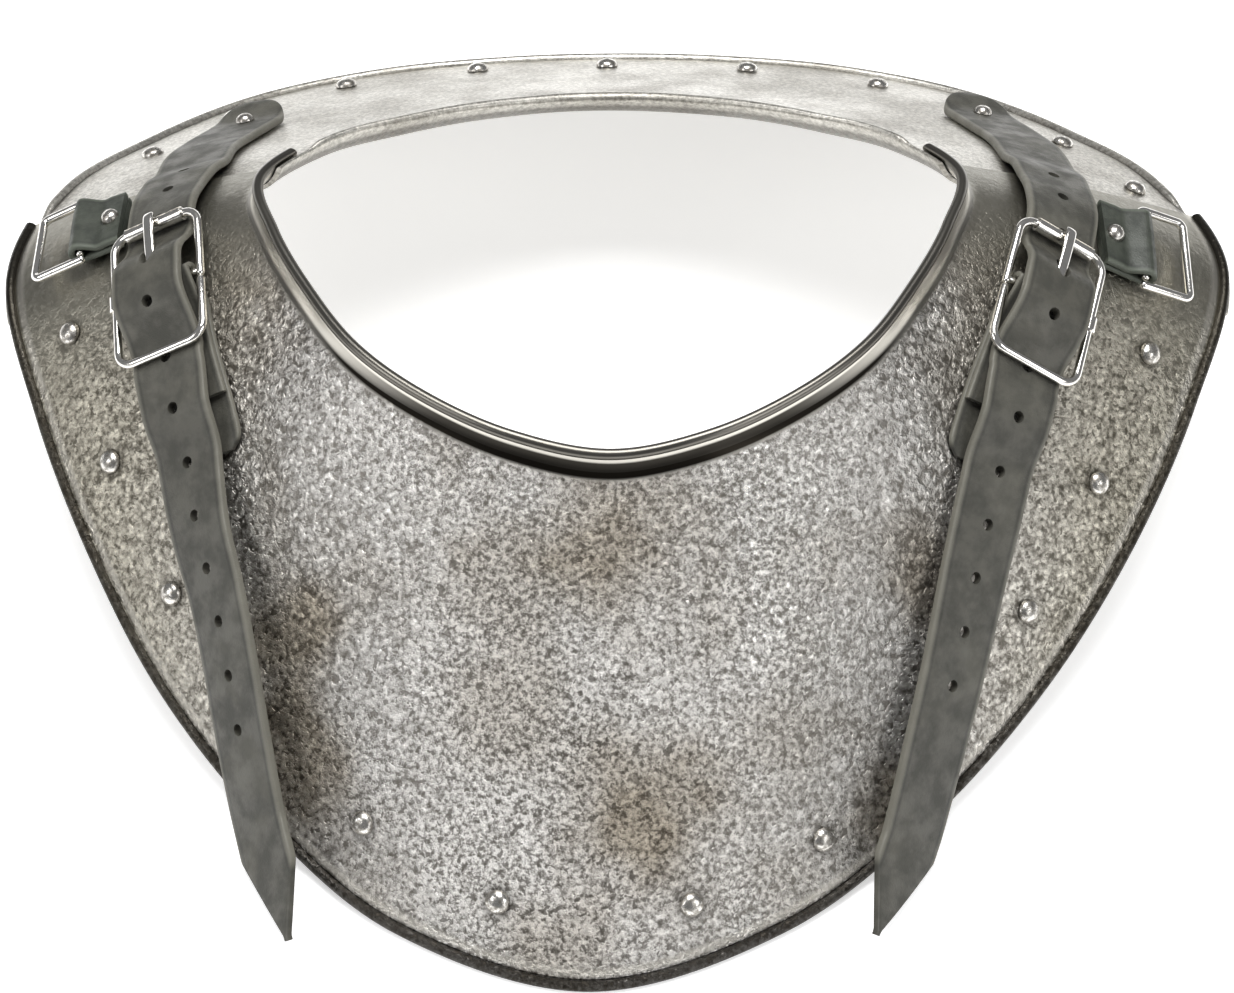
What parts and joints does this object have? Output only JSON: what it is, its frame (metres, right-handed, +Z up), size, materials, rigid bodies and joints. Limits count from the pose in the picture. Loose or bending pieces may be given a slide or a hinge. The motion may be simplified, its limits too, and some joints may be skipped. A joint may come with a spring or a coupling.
{
  "type": "steel gorget",
  "caption": "Steel neck and shoulder guard: two overlapping plates with wired edges, joined over the shoulders by buckled leather straps.",
  "frame": {"origin": "midway between the neck's two sides, near the middle of the bounding box, on the surface that the plates stand on", "axes": "+Z up out of the neck opening, -Y the front, +X the wearer's left"},
  "size_m": [0.2925, 0.2855, 0.0831],
  "materials": {
    "etched_steel": "etched and mottled, satin",
    "plain_steel": "polished, slightly darkened",
    "strap_leather": "waxed, dark olive grey",
    "tab_leather": "waxed, green black",
    "nickel_wire": "bright nickel plate"
  },
  "bodies": {
    "root": {"front_plate": "etched_steel", "back_plate": "plain_steel", "strap_right": "strap_leather", "buckle_frame_right": "nickel_wire", "buckle_roller_right": "nickel_wire", "buckle_tongue_right": "nickel_wire", "buckle_strap_right": "strap_leather", "side_tab_right": "tab_leather", "strap_left": "strap_leather", "buckle_frame_left": "nickel_wire", "buckle_roller_left": "nickel_wire", "buckle_tongue_left": "nickel_wire", "buckle_strap_left": "strap_leather", "side_tab_left": "tab_leather", "front_rivet_right_1": "plain_steel", "front_rivet_right_2": "plain_steel", "front_rivet_right_3": "plain_steel", "front_rivet_right_4": "plain_steel", "front_rivet_right_5": "plain_steel", "front_rivet_right_6": "plain_steel", "front_rivet_left_1": "plain_steel", "front_rivet_left_2": "plain_steel", "front_rivet_left_3": "plain_steel", "front_rivet_left_4": "plain_steel", "front_rivet_left_5": "plain_steel", "front_rivet_left_6": "plain_steel", "back_rivet_right_1": "plain_steel", "back_rivet_right_2": "plain_steel", "back_rivet_right_3": "plain_steel", "back_rivet_right_4": "plain_steel", "back_rivet_right_5": "plain_steel", "back_rivet_left_1": "plain_steel", "back_rivet_left_2": "plain_steel", "back_rivet_left_3": "plain_steel", "back_rivet_left_4": "plain_steel", "back_rivet_left_5": "plain_steel", "strap_rivet_right": "plain_steel", "buckle_strap_rivet_right": "plain_steel", "side_tab_rivet_right": "plain_steel", "strap_rivet_left": "plain_steel", "buckle_strap_rivet_left": "plain_steel", "side_tab_rivet_left": "plain_steel"},
    "side_ring_right": {"side_ring_right": "nickel_wire"},
    "side_ring_left": {"side_ring_left": "nickel_wire"}
  },
  "joints": [
    {"name": "side_ring_right_hinge", "type": "hinge", "parent": "root", "child": "side_ring_right", "pos_m": [-0.124, 0.03205, 0.05608], "axis": [0, 0.9861, -0.1663], "range_deg": [0, 165]},
    {"name": "side_ring_left_hinge", "type": "hinge", "parent": "root", "child": "side_ring_left", "pos_m": [0.12426, 0.02322, 0.05735], "axis": [0, -0.9957, -0.0929], "range_deg": [0, 165]}
  ]
}
